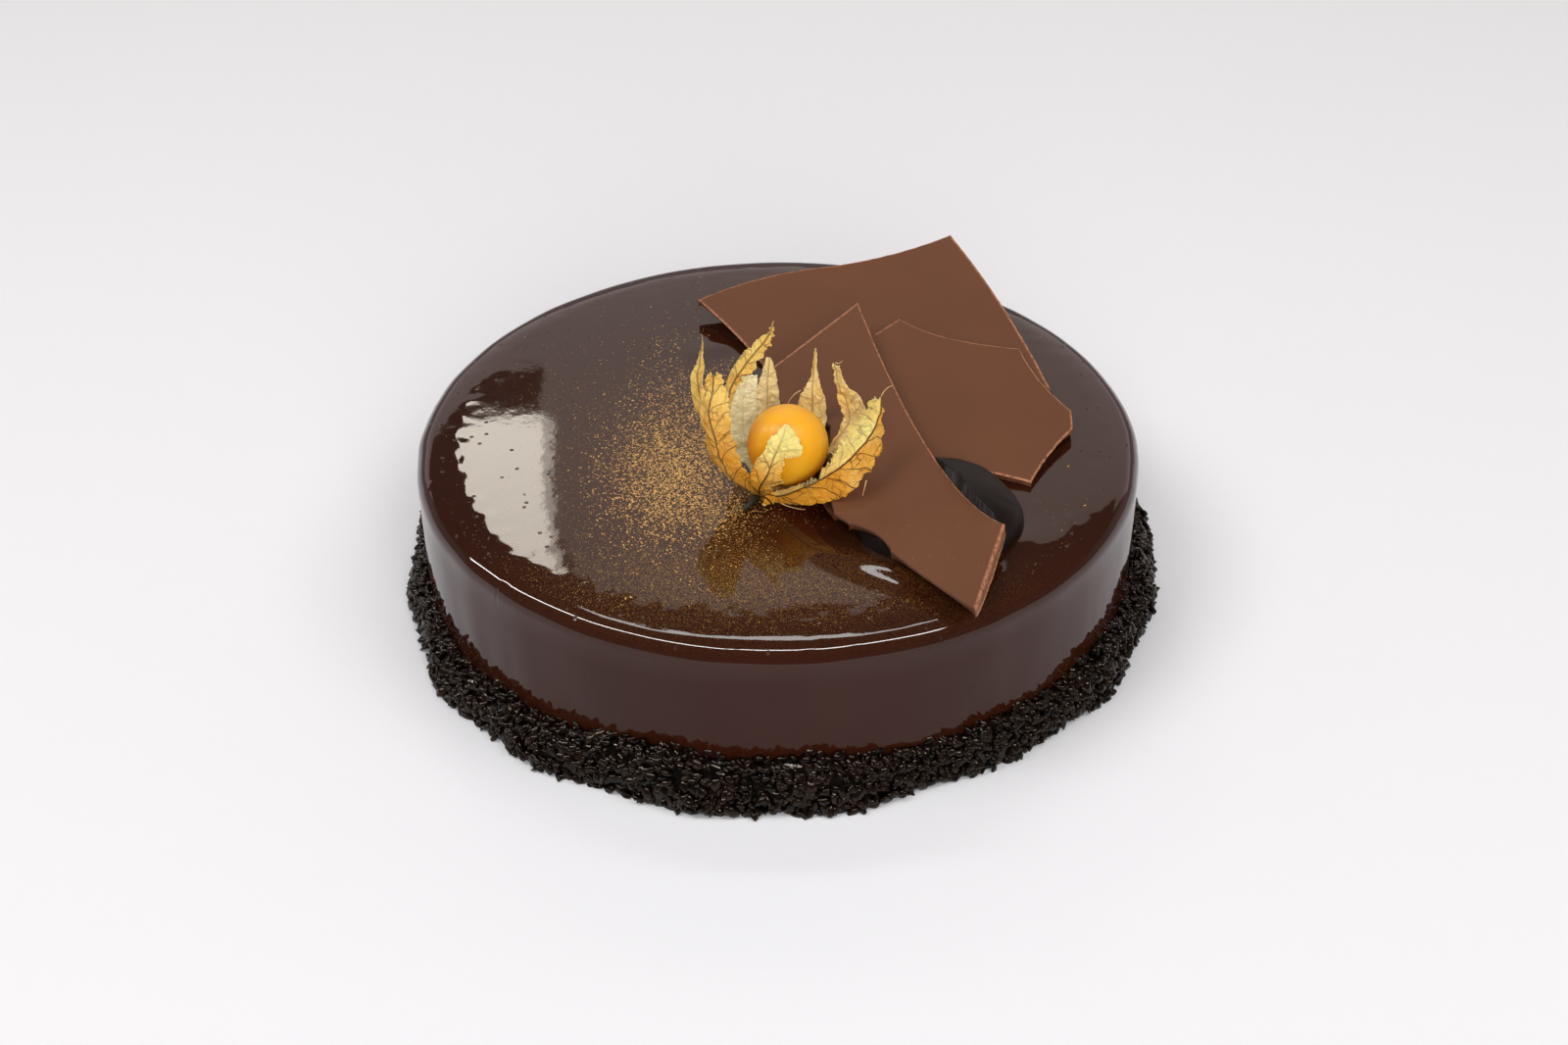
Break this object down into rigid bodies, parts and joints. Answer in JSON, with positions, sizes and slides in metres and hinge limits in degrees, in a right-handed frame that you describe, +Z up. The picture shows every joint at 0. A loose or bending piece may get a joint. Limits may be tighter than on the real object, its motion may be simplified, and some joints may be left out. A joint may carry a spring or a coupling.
{
  "type": "chocolate mousse cake",
  "caption": "Round mousse cake under a dark mirror glaze, with a collar of chocolate flakes, curved chocolate shards on piped ganache and a physalis in its opened husk.",
  "frame": {"origin": "centre of the cake's flat underside", "axes": "+Z up, -Y towards the front where the physalis and the long shard are seen, +X to the right"},
  "size_m": [0.1967, 0.1944, 0.0821],
  "materials": {
    "glaze": "mirror-gloss dark chocolate glaze",
    "flakes": "small dark chocolate flakes with a satin gloss",
    "shard": "satin tempered milk chocolate",
    "ganache": "smooth piped dark ganache",
    "berry": "taut waxy fruit skin",
    "husk": "dry papery leaf with a net of dark veins"
  },
  "bodies": {
    "root": {"glazed_cake": "glaze", "flake_collar": "flakes", "chocolate_shard_back": "shard", "chocolate_shard_right": "shard", "chocolate_shard_front": "shard", "ganache_front": "ganache", "ganache_back": "ganache", "physalis_berry": "berry", "physalis_husk": "husk"}
  },
  "joints": []
}
